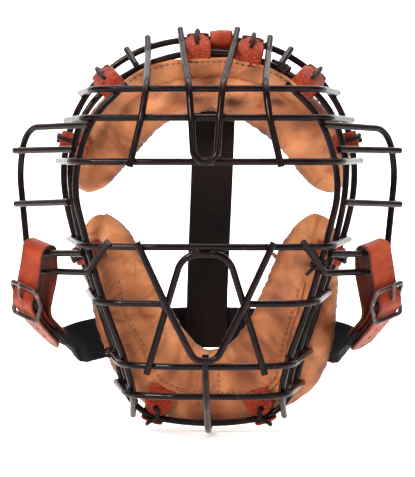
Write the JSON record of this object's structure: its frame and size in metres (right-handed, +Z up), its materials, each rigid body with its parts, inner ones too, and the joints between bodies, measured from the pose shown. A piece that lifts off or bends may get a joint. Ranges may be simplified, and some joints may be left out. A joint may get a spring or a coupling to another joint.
{
  "type": "catchers mask",
  "caption": "Welded wire face mask with ear guards, leather pads laced to its rim, and an elastic head harness on two buckled side straps.",
  "frame": {"origin": "on the eye line, in the plane of the rim wire the pads are laced to, midway between its sides", "axes": "+Z up, +Y towards the wearer's head, +X to the right seen from the front"},
  "size_m": [0.2856, 0.1657, 0.3008],
  "materials": {
    "cage_paint": "glossy baked enamel",
    "pad_leather": "worn tan leather",
    "pad_stuffing": "packed hair",
    "tab_leather": "pebbled red-orange leather",
    "lace_leather": "dark rawhide",
    "strap_leather": "smooth orange-brown leather",
    "buckle_steel": "dark japanned steel",
    "elastic": "ribbed elastic webbing"
  },
  "bodies": {
    "mask": {"rim_wire": "cage_paint", "inner_rim_wire": "cage_paint", "right_side_wire": "cage_paint", "left_side_wire": "cage_paint", "brow_bar_top": "cage_paint", "brow_bar_low": "cage_paint", "eye_bar_top": "cage_paint", "eye_bar_low": "cage_paint", "mouth_bar": "cage_paint", "chin_bar": "cage_paint", "right_cheek_bar": "cage_paint", "left_cheek_bar": "cage_paint", "right_crown_bar": "cage_paint", "left_crown_bar": "cage_paint", "brow_loop_bar": "cage_paint", "nose_arch_bar": "cage_paint", "mouth_vee_bar": "cage_paint", "chin_post": "cage_paint", "crown_ties": "cage_paint", "right_ear_guard_loop": "cage_paint", "right_ear_guard_bars": "cage_paint", "left_ear_guard_loop": "cage_paint", "left_ear_guard_bars": "cage_paint", "forehead_pad_cover": "pad_leather", "chin_pad_cover": "pad_leather", "forehead_pad_stuffing": "pad_stuffing", "chin_pad_stuffing": "pad_stuffing", "crown_tab_left": "tab_leather", "crown_tab_right": "tab_leather", "temple_tab_left": "tab_leather", "temple_tab_right": "tab_leather", "brow_tab_left": "tab_leather", "brow_tab_right": "tab_leather", "cheek_tab_left": "tab_leather", "cheek_tab_right": "tab_leather", "jaw_tab_left": "tab_leather", "jaw_tab_right": "tab_leather", "pad_laces": "lace_leather", "crown_loop": "strap_leather", "right_side_strap": "strap_leather", "right_chape": "strap_leather", "head_band_right": "elastic", "left_side_strap": "strap_leather", "left_chape": "strap_leather", "head_band_left": "elastic", "crown_strap": "elastic"},
    "harness_back": {"head_band_centre": "elastic", "crown_strap_foot": "elastic"},
    "right_buckle": {"right_buckle_frame": "buckle_steel"},
    "right_tongue": {"right_buckle_tongue": "buckle_steel"},
    "left_buckle": {"left_buckle_frame": "buckle_steel"},
    "left_tongue": {"left_buckle_tongue": "buckle_steel"}
  },
  "joints": [
    {"name": "harness_stretch", "type": "slide", "parent": "mask", "child": "harness_back", "axis": [0, 1, 0], "range_m": [0, 0.045], "stiffness_N_per_m": 150, "deforming": ["head_band_left", "head_band_right", "crown_strap"]},
    {"name": "right_buckle_rock", "type": "hinge", "parent": "mask", "child": "right_buckle", "pos_m": [0.12749, -0.02889, -0.07261], "axis": [0.7011, 0.6811, 0.211], "range_deg": [-1, 1]},
    {"name": "right_tongue_lift", "type": "hinge", "parent": "right_buckle", "child": "right_tongue", "pos_m": [0.12749, -0.02889, -0.07261], "axis": [0.7011, 0.6811, 0.211], "range_deg": [0, 25]},
    {"name": "left_buckle_rock", "type": "hinge", "parent": "mask", "child": "left_buckle", "pos_m": [-0.13028, -0.02576, -0.07282], "axis": [0.7011, -0.6811, -0.211], "range_deg": [-1, 1]},
    {"name": "left_tongue_lift", "type": "hinge", "parent": "left_buckle", "child": "left_tongue", "pos_m": [-0.13028, -0.02576, -0.07282], "axis": [0.7011, -0.6811, -0.211], "range_deg": [0, 25]}
  ]
}
